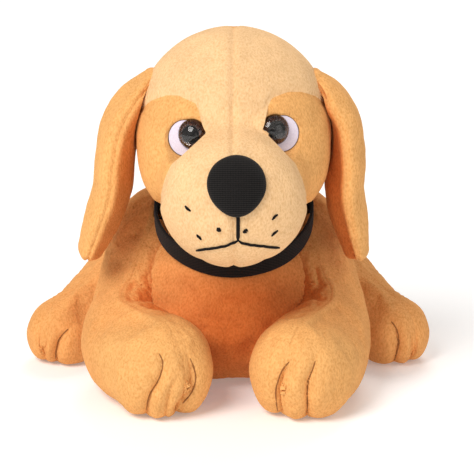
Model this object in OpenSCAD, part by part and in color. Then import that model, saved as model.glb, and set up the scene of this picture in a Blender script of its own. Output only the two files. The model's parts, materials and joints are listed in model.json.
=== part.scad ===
// Plush dog lying down: sewn fabric panels over fibre filling, with plastic eyes and a loose collar.
// Millimetres. +Z up, the dog faces -Y, and its own left side is +X. The floor is z = 0.

/* [Fabric] */
// Thickness of the pile fabric
pile = 2; // [1.5:0.1:2.5]
// Gap between a cover and its filling
slack = 0.2; // [0.1:0.1:0.4]
// Radius of an embroidery stitch
stitch_r = 0.7; // [0.5:0.1:0.9]

/* [Head] */
// Half width of the skull
skull_w = 66; // [63:1:68]
// Half depth of the skull
skull_d = 60; // [57:1:62]
// Half height of the skull
skull_h = 65; // [63:1:67]
// Half width of the muzzle
muzzle_w = 50; // [47:1:52]
// Half length of the muzzle
muzzle_d = 43; // [41:1:45]
// Half height of the muzzle
muzzle_h = 47; // [45:1:49]
// Sideways offset of the head and neck
head_off = 4; // [0:1:6]
// Radius of the neck's ball of filling
neck_r = 46; // [44:1:47]
// Forward lean of the neck, in degrees
neck_lean = 30; // [27:1:33]

/* [Face] */
// Radius of an eye
eye_r = 10; // [9:0.5:10.5]
// Radius of the white felt behind an eye
felt_r = 12; // [11:0.5:12.5]
// Half width of the nose pad
nose_w = 19.5; // [17:0.5:21]
// Height of the nose pad above the muzzle
nose_rise = 10; // [8:1:12]

/* [Ears] */
// Half width of an ear at its widest
ear_w = 31; // [27:1:33]
// Half thickness of an ear at its thickest
ear_t = 14; // [11:0.5:15]

/* [Collar] */
// Width of the collar band
collar_w = 18; // [14:1:20]
// Thickness of the collar band
collar_t = 2.6; // [2:0.1:3]

/* [Legs] */
// Half width of a front paw
paw_w = 35; // [32:1:36]
// Half height of a front paw
paw_h = 34; // [31:1:35]
// Half width of a hind foot
foot_w = 26; // [23:1:27]

/* [Hidden] */

golden = [0.95, 0.72, 0.42];
cream = [0.98, 0.84, 0.66];
black = [0.08, 0.07, 0.07];
fibre = [0.96, 0.96, 0.94];

// Pivots and travels of the joints
neck_at = [head_off, -30, 122];
shoulder_at = [51, 4, 104];
hip_at = [60, 76, 50];
tail_at = [0, 126, 38];
front_lift = 10;
hind_swing = 10;
tail_wag = 20;

// Ellipsoids that make up the head, about its own middle plane, and the body: [centre, half sizes]
head_c = [0, -68, 172];
head_blobs = [
  [[0, -45, 192], [skull_w, skull_d, skull_h]],
  [[28, -60, 168], [37, 42, 42]],
  [[-28, -60, 168], [37, 42, 42]],
  [[0, -106, 151], [muzzle_w, muzzle_d, muzzle_h]]
];
body_c = [0, 20, 60];
body_blobs = [
  [[0, -24, 56], [62, 54, 60]],
  [[0, 12, 84], [60, 46, 50]],
  [[0, 36, 56], [66, 72, 62]],
  [[0, 78, 52], [63, 52, 53]]
];
blend_head = 7;
blend_body = 16;

// Stations of a left limb: [x, y, z, half width, half height]
function front_leg(side) = let (inward = side < 0 ? 5 : 0) [
  concat(shoulder_at, [26, 28]),
  [61, -8, 82, 25, 30],
  [71, -30, 50, 25, 35],
  [70 + inward / 2, -62, 34, 28, 36],
  [51 - inward, -106 + inward / 2, paw_h - 5, paw_w, paw_h + 4]
];
hind_leg = [
  concat(hip_at, [31, 37]),
  [82, 56, 38, 31, 34],
  [104, 30, 27, 28, 29],
  [121, 9, 20, foot_w, 27]
];
function ear(side) = let (splay = side < 0 ? 15 : 1) [
  for (s = [[62, 216, 19, 6], [70, 205, 25, 10], [76, 188, 28, 12], [77, 165, 30, ear_t], [77, 142, ear_w, ear_t],
    [81, 120, 29, ear_t - 1], [85, 100, 24, ear_t - 4.5]])
    [s[0] + splay * pow((216 - s[1]) / 116, 1.4), -42, s[1], s[2], s[3]]
];
tail = [
  concat(tail_at, [14, 14]),
  [5, 144, 22, 12, 12],
  [26, 158, 13, 10, 10]
];

// ---- Vectors and curves ----

function unit(v) = v / norm(v);

// A smooth curve through the stations p, at s from 0 to len(p) - 1
function along(p, s) =
  let (n = len(p) - 1, i = min(floor(s), n - 1), t = s - i)
  let (a = p[max(i - 1, 0)], b = p[i], c = p[i + 1], d = p[min(i + 2, n)])
  b + t * (c - a) / 2 + t * t * (a - 2.5 * b + 2 * c - d / 2) + t * t * t * (3 * (b - c) + d - a) / 2;

function xyz(s) = [s[0], s[1], s[2]];

// ---- Rounded bodies seen from a centre ----

// Distance from c along d to the far side of ellipsoid e, or 0 where it misses
function reach(e, c, d) =
  let (o = [for (i = [0:2]) (c[i] - e[0][i]) / e[1][i]], k = [for (i = [0:2]) d[i] / e[1][i]])
  let (a = k * k, b = o * k, q = b * b - a * (o * o - 1))
  q < 0 ? 0 : (sqrt(q) - b) / a;

// The larger of a and b, rounded over a band k wide
function soft_max(a, b, k) = let (h = max(k - abs(a - b), 0) / k) max(a, b) + h * h * k / 4;

function soft_reach(blobs, c, d, k, i = 0, best = 0) =
  i == len(blobs) ? best : soft_reach(blobs, c, d, k, i + 1, soft_max(best, reach(blobs[i], c, d), k));

function ray_dir(lat, lon) = [cos(lat) * sin(lon), -cos(lat) * cos(lon), sin(lat)];

// Rows of points from the lowest to the highest, inset below the surface and kept above the floor
function blob_rows(blobs, c, k, rows, cols, inset) = [
  for (i = [0:rows]) [
    for (j = [0:cols - 1])
      let (d = ray_dir(-90 + 180 * i / rows, 360 * j / cols))
      let (r = soft_reach(blobs, c, d, k) - inset)
      c + d * (d[2] < 0 ? min(r, (c[2] - inset) / -d[2]) : r)
  ]
];

// ---- Limbs swept along stations ----

cap_rows = 3;

// A ring round station s, t of the way along its list, drawn in and shifted for an end cap
function ring(list, s, ref, cols, inset, squeeze, shift) =
  let (n = len(list) - 1, st = along(list, s))
  let (dir = unit(xyz(along(list, min(s + 0.05, n))) - xyz(along(list, max(s - 0.05, 0)))))
  let (side = unit(ref - (ref * dir) * dir), up = cross(dir, side))
  let (w = (st[3] - inset) * squeeze, h = (st[4] - inset) * squeeze)
  [
    for (j = [0:cols - 1])
      let (p = xyz(st) + dir * shift + side * w * cos(360 * j / cols) + up * h * sin(360 * j / cols))
      [p[0], p[1], max(p[2], inset)]
  ];

// Rows of points from the first station's cap to the last one's
function limb_rows(list, ref, rows, cols, inset) =
  let (n = len(list) - 1)
  let (first = min(list[0][3], list[0][4]) - inset, last = min(list[n][3], list[n][4]) - inset)
  concat(
    [for (k = [0:cap_rows - 1]) let (a = 90 * k / cap_rows) ring(list, 0, ref, cols, inset, sin(a), -first * cos(a))],
    [for (i = [0:rows]) ring(list, n * i / rows, ref, cols, inset, 1, 0)],
    [for (k = [1:cap_rows]) let (a = 90 * k / cap_rows) ring(list, n, ref, cols, inset, cos(a), last * sin(a))]
  );

// ---- Solids from rows of points ----

// The faces of a quad as two triangles, without those that collapse at a pole
function halves(a, b, c, d) = [for (f = [[a, b, c], [a, c, d]]) if (f[0] != f[1] && f[1] != f[2] && f[0] != f[2]) f];

function flat(lists) = [for (l = lists) each l];

// Index of a point, where the first and the last row are single points
function at(i, j, rows, cols) = i * cols + (i == 0 || i == rows ? 0 : (j + cols) % cols);

module closed(grid) {
  rows = len(grid) - 1;
  cols = len(grid[0]);
  polyhedron(
    flat(grid),
    [
      for (i = [0:rows - 1], j = [0:cols - 1])
        let (a = at(i, j, rows, cols), b = at(i + 1, j, rows, cols))
        each halves(a, b, at(i + 1, j + 1, rows, cols), at(i, j + 1, rows, cols))
    ]
  );
}

// One fabric panel: the cells of a shell between two grids for which keep(i, j) is true
module panel(outside, inside, keep) {
  rows = len(outside) - 1;
  cols = len(outside[0]);
  deep = (rows + 1) * cols;
  function held(i, j) = i >= 0 && i < rows && keep(i, (j + cols) % cols);
  polyhedron(
    concat(flat(outside), flat(inside)),
    [
      for (i = [0:rows - 1], j = [0:cols - 1]) if (held(i, j))
        let (a = at(i, j, rows, cols), b = at(i + 1, j, rows, cols))
        let (c = at(i + 1, j + 1, rows, cols), d = at(i, j + 1, rows, cols))
        each concat(
          halves(a, b, c, d),
          halves(d + deep, c + deep, b + deep, a + deep),
          held(i - 1, j) || a == d ? [] : halves(a, d, d + deep, a + deep),
          held(i + 1, j) || b == c ? [] : halves(c, b, b + deep, c + deep),
          held(i, j - 1) ? [] : halves(b, a, a + deep, b + deep),
          held(i, j + 1) ? [] : halves(d, c, c + deep, d + deep)
        )
    ]
  );
}

// A thread laid through points, thin enough to need only five sides
module thread(points, r = stitch_r) {
  n = len(points) - 1;
  sides = 5;
  rings = [
    for (i = [0:n])
      let (dir = unit(points[min(i + 1, n)] - points[max(i - 1, 0)]))
      let (side = unit(cross(dir, abs(dir[2]) > 0.8 ? [1, 0, 0] : [0, 0, 1])), up = cross(dir, side))
      [for (j = [0:sides - 1]) points[i] + r * (side * cos(360 * j / sides) + up * sin(360 * j / sides))]
  ];
  polyhedron(
    flat(rings),
    concat(
      [for (i = [0:n - 1], j = [0:sides - 1]) each halves(
        i * sides + j, (i + 1) * sides + j, (i + 1) * sides + (j + 1) % sides, i * sides + (j + 1) % sides
      )],
      [[for (j = [0:sides - 1]) j]],
      [[for (j = [0:sides - 1]) n * sides + sides - 1 - j]]
    )
  );
}

// One mesh of everything inside
module meshed() { resize([0, 0, 0]) children(); }

module mirrored(side) { mirror([side < 0 ? 1 : 0, 0, 0]) children(); }

// ---- Places ----

module in_neck() { translate(neck_at) rotate([neck_lean, 0, 0]) children(); }

module in_head() { translate([head_off, 0, 0]) children(); }

// Turns children about an axis through a pivot
module about(pivot, turn) { translate(pivot) rotate(turn) translate(-pivot) children(); }

// ---- Body ----

body_rows = 13;
body_cols = 26;
leg_rows = 7;
leg_cols = 12;
tail_rows = 4;
tail_cols = 10;
front_ref = [1, 0, 0];
hind_ref = [0.8, 0.6, 0];
tail_ref = [1, 0, 0];
clearance = 1;
// Room for the flat facets of a cover and its filling where a limb bends
bend_room = 1.4;

module body_shape(inset) { closed(blob_rows(body_blobs, body_c, blend_body, body_rows, body_cols, inset)); }

// Room that the limbs, the neck, the collar and the tail need in the body
module body_room(rows, cols, gap) {
  for (side = [-1, 1]) mirrored(side) {
    for (turn = [0, -front_lift / 2, -front_lift]) about(shoulder_at, [turn, 0, 0])
      closed(limb_rows(front_leg(side), front_ref, rows, cols, -gap));
    for (turn = [0, hind_swing]) about(hip_at, [0, 0, turn])
      closed(limb_rows(hind_leg, hind_ref, rows, cols, -gap));
  }
  translate(neck_at) sphere(neck_r + clearance, $fn = 30);
  in_neck() rotate_extrude($fn = 30) polygon([[0, 0], [90, -19], [90, 80], [0, 80]]);
  for (turn = [-tail_wag, 0, tail_wag]) about(tail_at, [0, 0, turn])
    closed(limb_rows(tail, tail_ref, tail_rows, tail_cols, -clearance));
}

// Outline of the belly panel seen from the front: it rises to the bib between the front legs
belly_line = [
  [-120, 20], [-66, 28], [-55, 73], [-38, 65], [-20, 58], [0, 55],
  [20, 58], [38, 65], [55, 73], [66, 28], [120, 20]
];
module belly_region() {
  translate([-120, -120, -5]) cube([240, 300, 27]);
  translate([0, -10, 0]) rotate([90, 0, 0])
    linear_extrude(100) polygon(concat([[-120, -5]], belly_line, [[120, -5]]));
}
module chest_region() {
  translate([0, -10, 0]) rotate([90, 0, 0])
    linear_extrude(100)
      polygon(concat([[-44, 160], [-46, 101]], [for (i = [2:8]) belly_line[i]], [[46, 101], [44, 160]]));
}

module body_shell() {
  difference() {
    body_shape(0);
    body_shape(pile);
    body_room(leg_rows, leg_cols, clearance);
  }
}
module belly_panel() {
  color(golden) meshed() intersection() {
    body_shell();
    belly_region();
  }
}
module chest_panel() {
  color(golden) meshed() intersection() {
    body_shell();
    chest_region();
  }
}
module back_panel(side) {
  color(golden) meshed() difference() {
    body_shell();
    belly_region();
    chest_region();
    translate([side > 0 ? -200 : 0, -150, -5]) cube([200, 400, 200]);
  }
}
module body_filling() {
  color(fibre) meshed() difference() {
    body_shape(pile + slack);
    body_room(5, 8, clearance + pile);
  }
}

// ---- Neck and collar ----

module neck_cover() {
  color(golden) translate(neck_at) difference() {
    sphere(neck_r);
    sphere(neck_r - pile);
  }
}
module neck_filling() { color(fibre) translate(neck_at) sphere(neck_r - pile - slack); }

collar_r = neck_r + 8;
collar_low = -9.5;
module collar_band() {
  color(black) in_neck() rotate_extrude()
    translate([collar_r, collar_low]) square([collar_t, collar_w]);
}

// ---- Head ----

head_rows = 18;
head_cols = 32;

module head_shape(inset) { closed(blob_rows(head_blobs, head_c, blend_head, head_rows, head_cols, inset)); }

// The face is laid out as seen from the front and a little above: u across, w up from the skull's middle
face_tilt = 15;
face_up = [0, sin(face_tilt), cos(face_tilt)];
face_out = [0, -cos(face_tilt), sin(face_tilt)];
function face_at(u, w, depth) = head_blobs[0][0] + [u, 0, 0] + w * face_up + depth * face_out;
function is_inside(p) = let (v = p - head_c) norm(v) < soft_reach(head_blobs, head_c, unit(v), blend_head);

// Depth of the head's surface at u, w, halving the step between a point inside and a point outside
function face_depth(u, w, inner = 20, outer = 140, steps = 14) =
  steps == 0 ? inner :
  is_inside(face_at(u, w, (inner + outer) / 2)) ? face_depth(u, w, (inner + outer) / 2, outer, steps - 1) :
  face_depth(u, w, inner, (inner + outer) / 2, steps - 1);
function on_face(u, w, rise) = let (p = face_at(u, w, face_depth(u, w))) p + rise * unit(p - head_c);

// Outline of the light face fabric on one side, from the temple over the brow and down beside the muzzle
brow_line = [
  [90, 3], [63, 8], [55.5, 13], [45.5, 15.5], [37, 15], [25.5, 9.5], [20.3, -2], [19.5, -8.5], [32, -20.5],
  [36, -25.5], [41.5, -33], [45.7, -42], [48.5, -52], [50.5, -58], [60, -75], [90, -90]
];
back_seam = -33;
chin_seam = 110;

module face_region(side) {
  intersection() {
    translate(head_blobs[0][0]) rotate([90 - face_tilt, 0, 0]) linear_extrude(200, center = true)
      mirror([side < 0 ? 1 : 0, 0, 0]) polygon(concat([[0, 120], [90, 120]], brow_line, [[90, -140], [0, -140]]));
    translate([-100, back_seam - 200, chin_seam]) cube([200, 200, 200]);
  }
}

module side_half(side) { translate([side > 0 ? 0 : -100, -200, 0]) cube([100, 300, 300]); }

module head_room() {
  translate(neck_at - [head_off, 0, 0]) {
    sphere(neck_r + clearance, $fn = 30);
    rotate([neck_lean, 0, 0]) rotate_extrude($fn = 30) polygon([[0, 0], [120, 32], [120, -120], [0, -120]]);
  }
}

// An eye's frame: its seat on the cheek, with z outwards
eye_drop = 1.6;
eye_sink = 2.5;
module in_eye(side) {
  at = on_face(side * 28.5, -10.4 + side * eye_drop, -eye_sink);
  translate(at) rotate([0, 0, side * 24]) rotate([82, 0, 0]) children();
}
felt_off = 5.5;
felt_drop = 3;
felt_t = 1.2;
eye_base = 1.6;
eye_rise = 6;
eye_ball = (eye_r * eye_r + eye_rise * eye_rise) / (2 * eye_rise);
post_r = 2.4;
washer_r = 8;
washer_t = 1.4;
seat_r = 13.7;

module eye_dome(grow) {
  translate([0, 0, felt_t + eye_base]) intersection() {
    translate([0, 0, eye_rise - eye_ball]) sphere(eye_ball + grow, $fn = 28);
    translate([0, 0, -grow]) cylinder(h = eye_rise + 2 * grow, r = eye_r + grow, $fn = 28);
  }
}
module eye_room(side) {
  in_eye(side) {
    translate([side * felt_off, -felt_drop, 0]) cylinder(h = felt_t + 0.3, r = felt_r + 0.3, $fn = 28);
    cylinder(h = felt_t + eye_base + 0.3, r = eye_r + 0.3, $fn = 28);
    eye_dome(0.3);
  }
}
module eye_seat(side, grow) {
  in_eye(side) translate([side * felt_off / 2, -felt_drop / 2, -pile - 0.05 - grow])
    cylinder(h = pile + grow, r = seat_r + grow, $fn = 26);
}
module post_room(side) { in_eye(side) translate([0, 0, -18]) cylinder(h = 24, r = post_r + 0.2, $fn = 16); }

module head_shell() {
  difference() {
    head_shape(0);
    head_shape(pile);
    head_room();
  }
}
module face_panel(side) {
  color(cream) in_head() meshed() difference() {
    intersection() {
      head_shell();
      face_region(side);
    }
    eye_room(side);
    eye_seat(side, slack);
  }
}
module cheek_panel(side) {
  color(golden) in_head() meshed() difference() {
    union() {
      difference() {
        intersection() {
          head_shell();
          side_half(side);
          translate([-100, back_seam - 200, chin_seam]) cube([200, 200, 200]);
        }
        face_region(side);
      }
      eye_seat(side, 0);
    }
    eye_room(side);
    post_room(side);
  }
}
module head_back(side) {
  color(golden) in_head() meshed() intersection() {
    head_shell();
    side_half(side);
    translate([-100, back_seam, 0]) cube([200, 200, 300]);
  }
}
module chin_panel() {
  color(cream) in_head() meshed() intersection() {
    head_shell();
    translate([-100, back_seam - 200, chin_seam - 100]) cube([200, 200, 100]);
  }
}
module head_filling() {
  color(fibre) in_head() meshed() difference() {
    head_shape(pile + slack);
    head_room();
    for (side = [-1, 1]) {
      post_room(side);
      in_eye(side) {
        translate([side * felt_off / 2, -felt_drop / 2, -pile - slack]) cylinder(h = 14, r = seat_r + 2.2, $fn = 24);
        translate([0, 0, -pile - washer_t - 2 * slack]) cylinder(h = pile, r = washer_r + slack, $fn = 24);
      }
    }
  }
}

// ---- Eyes ----

module eye_felt(side) {
  color("lavender") in_head() in_eye(side) difference() {
    translate([side * felt_off, -felt_drop, 0]) cylinder(h = felt_t, r = felt_r);
    translate([0, 0, -1]) cylinder(h = 4, r = post_r + slack / 2);
  }
}
module eye(side) {
  color("saddlebrown") in_head() in_eye(side) {
    translate([0, 0, felt_t]) cylinder(h = eye_base, r = eye_r);
    translate([0, 0, -14]) cylinder(h = 14 + felt_t, r = post_r);
  }
}
pupil_t = 0.4;
pupil_share = 0.54;
module eye_pupil(side) {
  color(black) in_head() in_eye(side)
    translate([0, 0, felt_t + eye_base]) cylinder(h = pupil_t, r = eye_r * pupil_share);
}
module eye_lens(side) {
  color([0.5, 0.4, 0.35, 0.5]) in_head() in_eye(side) difference() {
    translate([0, 0, felt_t + eye_base]) intersection() {
      translate([0, 0, eye_rise - eye_ball]) sphere(eye_ball);
      cylinder(h = eye_rise + 1, r = eye_r + 1);
    }
    translate([0, 0, felt_t]) cylinder(h = eye_base + pupil_t, r = eye_r * pupil_share + 0.05);
  }
}
module eye_washer(side) {
  color("whitesmoke") in_head() in_eye(side) translate([0, 0, -pile - washer_t - slack / 2]) difference() {
    cylinder(h = washer_t, r = washer_r);
    translate([0, 0, -1]) cylinder(h = 4, r = post_r + slack / 2);
  }
}

// ---- Nose and embroidery ----

nose_at = [2, -48];
nose_rings = 5;
nose_cols = 20;

// A rounded triangle on the muzzle: rows from its middle to its rim, lifted by rise(q)
function nose_half(size, rise) = [
  for (i = [0:nose_rings]) let (q = i / nose_rings) [
    for (j = [0:nose_cols - 1])
      let (a = 360 * j / nose_cols, wide = 1 + 0.1 * sin(a) - 0.08 * pow(sin(a), 2))
      on_face(nose_at[0] + size * q * cos(a) * wide, nose_at[1] + size * 1.04 * q * sin(a), rise(q))
  ]
];
function nose_grid(size, low, high) =
  let (under = nose_half(size, function(q) low))
  let (over = nose_half(size, function(q) low + (high - low) * sqrt(max(1 - q * q, 0))))
  concat(under, [for (i = [nose_rings - 1:-1:0]) over[i]]);

module nose_filling() { color(fibre) in_head() closed(nose_grid(nose_w * 0.86, 0.4, nose_rise - 2)); }
module nose_cover() {
  color(black) in_head() meshed() difference() {
    closed(nose_grid(nose_w, 0.3, nose_rise));
    closed(nose_grid(nose_w * 0.93, -1, nose_rise - 1.2));
  }
}

mouth_u = 3;
mouth_top = -69.5;
mouth_mid = -83.5;
module mouth_stitching() {
  color(black) in_head() {
    thread([for (w = [mouth_top:(mouth_mid + 0.8 - mouth_top) / 4:mouth_mid + 0.7]) on_face(mouth_u, w, 1.1)], stitch_r + 0.3);
    for (side = [-1, 1]) thread([
      for (t = [0.05:0.19:1]) on_face(mouth_u + side * 27.5 * t, mouth_mid - 1.6 - 4.6 * sqrt(t) - side * t * -0.8, 1.1)
    ]);
  }
}
whiskers = [[-30, -63, -1], [-9.5, -76.5, -1], [-22.5, -81.5, -1], [8, -77.5, 1], [27, -68.5, 1], [27, -79, 1]];
module whisker_stitches() {
  color(black) in_head() for (w = whiskers)
    thread([on_face(w[0] - 1.2, w[1] - w[2] * 1.2, 1), on_face(w[0] + 1.2, w[1] + w[2] * 1.2, 1.2)]);
}

// ---- Ears ----

ear_rows = 8;
ear_cols = 12;
ear_ref = [0, 1, 0];

function ear_rows_of(side, inset) = limb_rows(ear(side), ear_ref, ear_rows, ear_cols, inset);

// Two layers sewn together round the rim, over a thin filling, and flattened where they lie on the head
module ear_piece(side, shade) {
  color(shade) in_head() meshed() difference() {
    mirrored(side) children();
    head_shape(-0.6);
  }
}
module ear_outer(side) {
  ear_piece(side, golden) panel(ear_rows_of(side, 0), ear_rows_of(side, pile), function(i, j) j < ear_cols / 2);
}
module ear_inner(side) {
  ear_piece(side, golden) panel(ear_rows_of(side, 0), ear_rows_of(side, pile), function(i, j) j >= ear_cols / 2);
}
module ear_filling(side) { ear_piece(side, fibre) closed(ear_rows_of(side, pile + slack)); }

// ---- Legs and tail ----

module limb_cover(list, ref, side, outer) {
  skin = limb_rows(list, ref, leg_rows, leg_cols, 0);
  lining = limb_rows(list, ref, leg_rows, leg_cols, pile);
  quarter = leg_cols / 4;
  color(golden) mirrored(side) panel(
    skin, lining, function(i, j) ((j + quarter) % leg_cols < leg_cols / 2) == outer
  );
}
module limb_filling(list, ref, side) {
  color(fibre) mirrored(side) closed(limb_rows(list, ref, leg_rows, leg_cols, pile + bend_room));
}

// Room that the neck and the collar need in a front leg, at rest and lifted
module neck_room(side, gap) {
  for (turn = [0, front_lift]) about([side * shoulder_at[0], shoulder_at[1], shoulder_at[2]], [turn, 0, 0]) {
    translate(neck_at) sphere(neck_r + gap, $fn = 30);
    in_neck() translate([0, 0, collar_low - gap]) cylinder(h = 80, r = collar_r + collar_t + gap, $fn = 30);
  }
}
module front_cut(side, gap) {
  meshed() difference() {
    children();
    neck_room(side, gap);
  }
}

module front_leg_outer(side) { front_cut(side, clearance) limb_cover(front_leg(side), front_ref, side, true); }
module front_leg_inner(side) { front_cut(side, clearance) limb_cover(front_leg(side), front_ref, side, false); }
module front_leg_filling(side) {
  front_cut(side, clearance + pile) limb_filling(front_leg(side), front_ref, side);
}
module hind_leg_outer(side) { limb_cover(hind_leg, hind_ref, side, true); }
module hind_leg_inner(side) { limb_cover(hind_leg, hind_ref, side, false); }
module hind_leg_filling(side) { limb_filling(hind_leg, hind_ref, side); }

// Point on the rounded end of a limb: across from -1 to 1, then turned up by lift degrees
function toe_point(list, ref, across, lift, rise) =
  let (n = len(list) - 1, st = list[n], reach = min(st[3], st[4]))
  let (dir = unit(xyz(st) - xyz(along(list, n - 0.05))), side = unit(ref - (ref * dir) * dir), up = cross(dir, side))
  let (rim = sqrt(1 - across * across))
  let (v = side * st[3] * across + rim * (dir * reach * cos(lift) + up * st[4] * sin(lift)))
  let (p = xyz(st) + v + rise * unit(v)) [p[0], p[1], max(p[2], stitch_r + 0.5)];

// Threads that pull the end of a paw into toes
module toe_stitches(list, ref, side, spots) {
  color("peru") mirrored(side) for (spot = spots)
    thread([for (lift = [-30:16:spot[1]]) toe_point(list, ref, spot[0], lift, stitch_r + 0.4)]);
}
module front_toe_stitches(side) { toe_stitches(front_leg(side), front_ref, side, [[-0.5, 26], [0, 42], [0.5, 26]]); }
module hind_toe_stitches(side) { toe_stitches(hind_leg, hind_ref, side, [[-0.3, 26], [0.35, 26]]); }

function tail_rows_of(inset) = limb_rows(tail, tail_ref, tail_rows, tail_cols, inset);
module tail_upper() { color(golden) panel(tail_rows_of(0), tail_rows_of(pile), function(i, j) j < tail_cols / 2); }
module tail_lower() { color(golden) panel(tail_rows_of(0), tail_rows_of(pile), function(i, j) j >= tail_cols / 2); }
module tail_filling() { color(fibre) closed(tail_rows_of(pile + slack)); }

// ---- Nodes ----

back_panel(1);  // back_panel_left
back_panel(-1);  // back_panel_right
chest_panel();
belly_panel();
body_filling();
neck_cover();
neck_filling();
collar_band();
face_panel(1);  // face_panel_left
face_panel(-1);  // face_panel_right
cheek_panel(1);  // cheek_panel_left
cheek_panel(-1);  // cheek_panel_right
head_back(1);  // head_back_left
head_back(-1);  // head_back_right
chin_panel();
head_filling();
nose_cover();
nose_filling();
mouth_stitching();
whisker_stitches();
eye_felt(1);  // eye_felt_left
eye_felt(-1);  // eye_felt_right
eye(1);  // eye_left
eye(-1);  // eye_right
eye_pupil(1);  // eye_pupil_left
eye_pupil(-1);  // eye_pupil_right
eye_lens(1);  // eye_lens_left
eye_lens(-1);  // eye_lens_right
eye_washer(1);  // eye_washer_left
eye_washer(-1);  // eye_washer_right
ear_outer(1);  // ear_outer_left
ear_outer(-1);  // ear_outer_right
ear_inner(1);  // ear_inner_left
ear_inner(-1);  // ear_inner_right
ear_filling(1);  // ear_filling_left
ear_filling(-1);  // ear_filling_right
front_leg_outer(1);  // front_leg_outer_left
front_leg_outer(-1);  // front_leg_outer_right
front_leg_inner(1);  // front_leg_inner_left
front_leg_inner(-1);  // front_leg_inner_right
front_leg_filling(1);  // front_leg_filling_left
front_leg_filling(-1);  // front_leg_filling_right
front_toe_stitches(1);  // front_toe_stitches_left
front_toe_stitches(-1);  // front_toe_stitches_right
hind_leg_outer(1);  // hind_leg_outer_left
hind_leg_outer(-1);  // hind_leg_outer_right
hind_leg_inner(1);  // hind_leg_inner_left
hind_leg_inner(-1);  // hind_leg_inner_right
hind_leg_filling(1);  // hind_leg_filling_left
hind_leg_filling(-1);  // hind_leg_filling_right
hind_toe_stitches(1);  // hind_toe_stitches_left
hind_toe_stitches(-1);  // hind_toe_stitches_right
tail_upper();
tail_lower();
tail_filling();
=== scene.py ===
import json
import math

import bpy
import numpy as np
from mathutils import Matrix, Vector, noise
from mathutils.bvhtree import BVHTree
from mathutils.kdtree import KDTree


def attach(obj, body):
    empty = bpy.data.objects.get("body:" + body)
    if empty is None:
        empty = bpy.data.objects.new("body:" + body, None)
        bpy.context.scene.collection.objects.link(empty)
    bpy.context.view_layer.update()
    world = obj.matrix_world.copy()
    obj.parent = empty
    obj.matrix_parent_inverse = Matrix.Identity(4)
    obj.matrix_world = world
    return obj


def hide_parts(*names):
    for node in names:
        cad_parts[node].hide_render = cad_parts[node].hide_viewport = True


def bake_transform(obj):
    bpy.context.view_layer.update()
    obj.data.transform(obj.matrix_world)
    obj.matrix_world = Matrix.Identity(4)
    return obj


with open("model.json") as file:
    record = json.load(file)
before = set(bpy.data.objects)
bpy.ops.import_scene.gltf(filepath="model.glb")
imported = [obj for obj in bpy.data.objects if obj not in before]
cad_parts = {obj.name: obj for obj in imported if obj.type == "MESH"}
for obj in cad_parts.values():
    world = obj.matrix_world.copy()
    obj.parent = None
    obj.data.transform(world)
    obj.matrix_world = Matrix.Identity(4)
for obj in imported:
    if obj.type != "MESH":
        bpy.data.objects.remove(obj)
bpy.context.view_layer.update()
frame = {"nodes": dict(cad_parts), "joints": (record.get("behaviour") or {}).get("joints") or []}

# The dog faces -Y and its own left side is +X. Shapes are worked out in millimetres and built in metres.
MM = 0.001
PILE = 1.8
PUFF = 5
FLOOR_GAP = 0.3
SIDES = ((1, "left"), (-1, "right"))

# Pivots of the joints, from the frame
PIVOT = {joint["child"]: np.array(joint["pos_m"]) / MM for joint in frame["joints"]}
NECK = PIVOT["neck"]
HEAD_OFF = NECK[0]
NECK_R = 46
NECK_LEAN = math.radians(30)
NECK_AXIS = np.array([0, -math.sin(NECK_LEAN), math.cos(NECK_LEAN)])

# Ellipsoids of the head, about its own middle plane, and of the body: centre and half sizes
HEAD_C = np.array([0, -68, 172.0])
HEAD_BLOBS = [
    [(0, -45, 192), (66, 60, 65)],
    [(28, -60, 168), (37, 42, 42)],
    [(-28, -60, 168), (37, 42, 42)],
    [(0, -106, 151), (50, 43, 47)],
]
BODY_C = np.array([0, 20, 60.0])
BODY_BLOBS = [
    [(0, -24, 56), (62, 54, 60)],
    [(0, 12, 84), (60, 46, 50)],
    [(0, 36, 56), (66, 72, 62)],
    [(0, 78, 52), (63, 52, 53)],
]
# The width of the band where they melt together
BLEND = 16

# How far each front paw is turned in, and how far each ear swings out at its tip
PAW_INWARD = {1: 0, -1: 5}
EAR_SPLAY = {1: 1, -1: 15}


# Stations of the limbs, all as on the left: x, y, z, half width, half height


def front_leg(side):
    turn_in = PAW_INWARD[side]
    return [
        (51, 4, 104, 26, 28), (61, -8, 82, 25, 30), (71, -30, 50, 25, 35),
        (70 + turn_in / 2, -62, 34, 28, 36), (51 - turn_in, -106 + turn_in / 2, 29, 35, 38),
    ]


HIND_LEG = [(60, 76, 50, 31, 37), (82, 56, 38, 31, 34), (104, 30, 27, 28, 29), (121, 9, 20, 26, 27)]
TAIL = [(0, 126, 38, 14, 14), (5, 144, 22, 12, 12), (26, 158, 13, 10, 10)]


def ear(side):
    rows = [
        (56, 221, 15, 6), (67, 206, 25, 12), (75, 188, 28, 14), (77.5, 165, 30, 14),
        (77, 142, 31, 14), (81, 120, 29, 13), (85, 100, 24, 9.5),
    ]
    return [(x + EAR_SPLAY[side] * (max(218 - z, 0) / 118) ** 1.4, -42, z, w, t) for x, z, w, t in rows]


# ---- Small mathematics ----


def unit(v):
    return v / np.maximum(np.linalg.norm(v, axis=-1, keepdims=True), 1e-12)


def smooth(x, low, high):
    """0 below low, 1 above high, and a smooth step between."""
    t = np.clip((x - low) / (high - low), 0, 1)
    return t * t * (3 - 2 * t)


def along(stations, s):
    """A smooth curve through the stations, at each s from 0 to their number less one."""
    p = np.array(stations, float)
    n = len(p) - 1
    i = np.minimum(np.floor(s).astype(int), n - 1)
    t = (s - i)[:, None]
    a, b, c, d = p[np.maximum(i - 1, 0)], p[i], p[i + 1], p[np.minimum(i + 2, n)]
    return b + t * (c - a) / 2 + t**2 * (a - 2.5 * b + 2 * c - d / 2) + t**3 * (3 * (b - c) + d - a) / 2


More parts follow.
